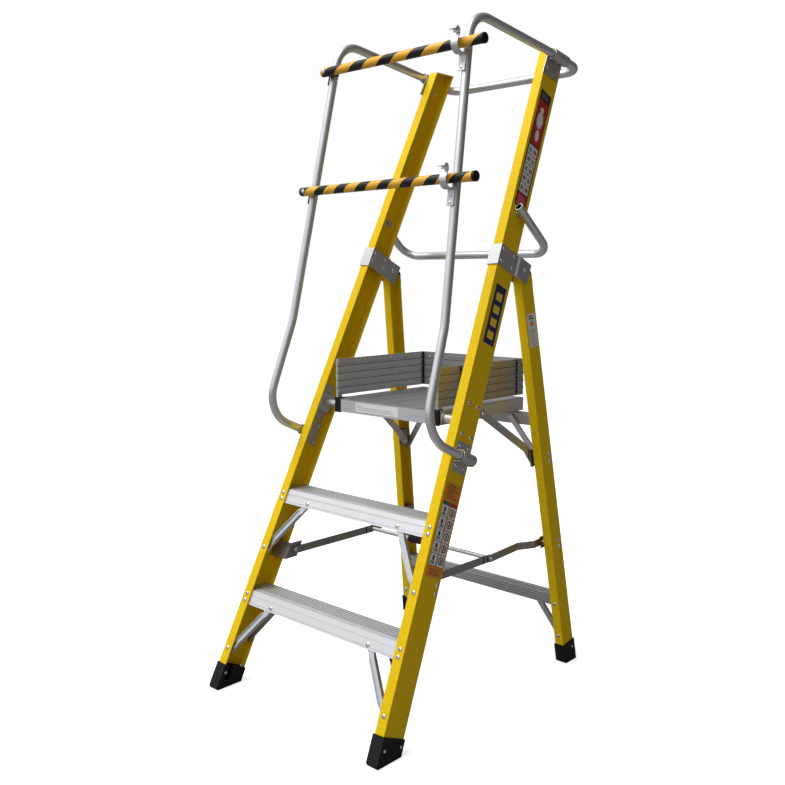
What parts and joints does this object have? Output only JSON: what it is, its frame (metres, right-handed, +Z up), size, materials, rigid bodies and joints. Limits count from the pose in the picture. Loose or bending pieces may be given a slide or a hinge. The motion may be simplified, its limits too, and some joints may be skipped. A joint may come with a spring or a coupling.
{
  "type": "platform step ladder",
  "caption": "Folding platform step ladder with glass-fibre stiles, flat treads, guarded platform, handrails and lift-up gate bars.",
  "frame": {"origin": "on the floor under the middle of the open ladder, on the plane midway between its stiles", "axes": "+X to the right of a person climbing, +Y to the rear, +Z up"},
  "size_m": [0.6128, 0.881, 1.6555],
  "materials": {
    "fibreglass": "satin",
    "aluminium": "satin",
    "tube": "satin",
    "zinc": "satin",
    "link_steel": "satin",
    "rubber": "matte",
    "hazard_tape": "satin"
  },
  "bodies": {
    "front_frame": {"front_stile_left": "fibreglass", "front_stile_right": "fibreglass", "front_foot_left": "rubber", "front_foot_right": "rubber", "tread_lower": "aluminium", "tread_upper": "aluminium", "tread_brace_lower_left": "aluminium", "tread_brace_upper_left": "aluminium", "tread_brace_lower_right": "aluminium", "tread_brace_upper_right": "aluminium", "hinge_bracket_left": "zinc", "hinge_pin_left": "zinc", "hinge_bracket_right": "zinc", "hinge_pin_right": "zinc", "handrail_left": "tube", "handrail_right": "tube", "rear_guard_rail": "tube", "mid_rail": "tube", "rail_top_bracket_left": "zinc", "rail_top_bracket_right": "zinc", "handrail_clamp_left": "zinc", "handrail_clamp_right": "zinc", "gate_pin_upper": "zinc", "gate_hook_upper": "zinc", "gate_pin_lower": "zinc", "gate_hook_lower": "zinc", "platform_bracket_left": "zinc", "platform_bracket_right": "zinc", "spreader_bracket_front_left": "link_steel", "spreader_bracket_front_right": "link_steel"},
    "rear_frame": {"rear_stile_left": "fibreglass", "rear_stile_right": "fibreglass", "rear_foot_left": "rubber", "rear_foot_right": "rubber", "rear_bar": "aluminium", "rear_crossbar": "aluminium", "rear_brace_left": "aluminium", "rear_brace_right": "aluminium", "crossbar_brace_left": "aluminium", "crossbar_brace_right": "aluminium", "strut_bracket_left": "link_steel", "strut_bracket_right": "link_steel", "spreader_bracket_rear_left": "link_steel", "spreader_bracket_rear_right": "link_steel"},
    "platform": {"platform_deck": "aluminium", "toe_board_left": "aluminium", "toe_board_right": "aluminium", "toe_board_rear": "aluminium", "platform_pivot_tube": "tube"},
    "spreader_front": {"spreader_front_link_left": "link_steel", "spreader_front_link_right": "link_steel", "spreader_rod": "tube", "spreader_grip": "rubber"},
    "strut_left": {"platform_strut_left": "link_steel"},
    "spreader_rear_left": {"spreader_rear_link_left": "link_steel"},
    "strut_right": {"platform_strut_right": "link_steel"},
    "spreader_rear_right": {"spreader_rear_link_right": "link_steel"},
    "gate_upper": {"gate_bar_upper": "hazard_tape"},
    "gate_lower": {"gate_bar_lower": "hazard_tape"}
  },
  "joints": [
    {"name": "frame_fold", "type": "hinge", "parent": "front_frame", "child": "rear_frame", "pos_m": [0, 0.1605, 1.062], "axis": [-1, 0, 0], "range_deg": [0, 33.42]},
    {"name": "platform_fold", "type": "hinge", "parent": "front_frame", "child": "platform", "pos_m": [0, -0.07959, 0.70801], "axis": [1, 0, 0], "range_deg": [0, 65.56]},
    {"name": "strut_fold_left", "type": "hinge", "parent": "rear_frame", "child": "strut_left", "pos_m": [-0.2275, 0.2315, 0.5615], "axis": [-1, 0, 0], "range_deg": [0, 27.16]},
    {"name": "strut_fold_right", "type": "hinge", "parent": "rear_frame", "child": "strut_right", "pos_m": [0.2275, 0.2315, 0.5615], "axis": [-1, 0, 0], "range_deg": [0, 27.16]},
    {"name": "spreader_front_fold", "type": "hinge", "parent": "front_frame", "child": "spreader_front", "pos_m": [0, -0.21839, 0.33265], "axis": [1, 0, 0], "range_deg": [0, 45.29]},
    {"name": "spreader_rear_fold_left", "type": "hinge", "parent": "rear_frame", "child": "spreader_rear_left", "pos_m": [-0.2365, 0.26605, 0.339], "axis": [-1, 0, 0], "range_deg": [0, 104.85]},
    {"name": "spreader_rear_fold_right", "type": "hinge", "parent": "rear_frame", "child": "spreader_rear_right", "pos_m": [0.2365, 0.26605, 0.339], "axis": [-1, 0, 0], "range_deg": [0, 104.85]},
    {"name": "gate_swing_upper", "type": "hinge", "parent": "front_frame", "child": "gate_upper", "pos_m": [-0.2199, -0.07877, 1.57], "axis": [0, -1, 0], "range_deg": [0, 85]},
    {"name": "gate_swing_lower", "type": "hinge", "parent": "front_frame", "child": "gate_lower", "pos_m": [-0.23774, -0.13783, 1.264], "axis": [0, -1, 0], "range_deg": [0, 85]}
  ],
  "couplings": [
    {"joint": "platform_fold", "follows": "frame_fold", "ratio": 1.953},
    {"joint": "strut_fold_left", "follows": "frame_fold", "ratio": 0.80368},
    {"joint": "strut_fold_right", "follows": "frame_fold", "ratio": 0.80368},
    {"joint": "spreader_front_fold", "follows": "frame_fold", "ratio": 1.3463},
    {"joint": "spreader_rear_fold_left", "follows": "frame_fold", "ratio": 3.1285},
    {"joint": "spreader_rear_fold_right", "follows": "frame_fold", "ratio": 3.1285}
  ]
}
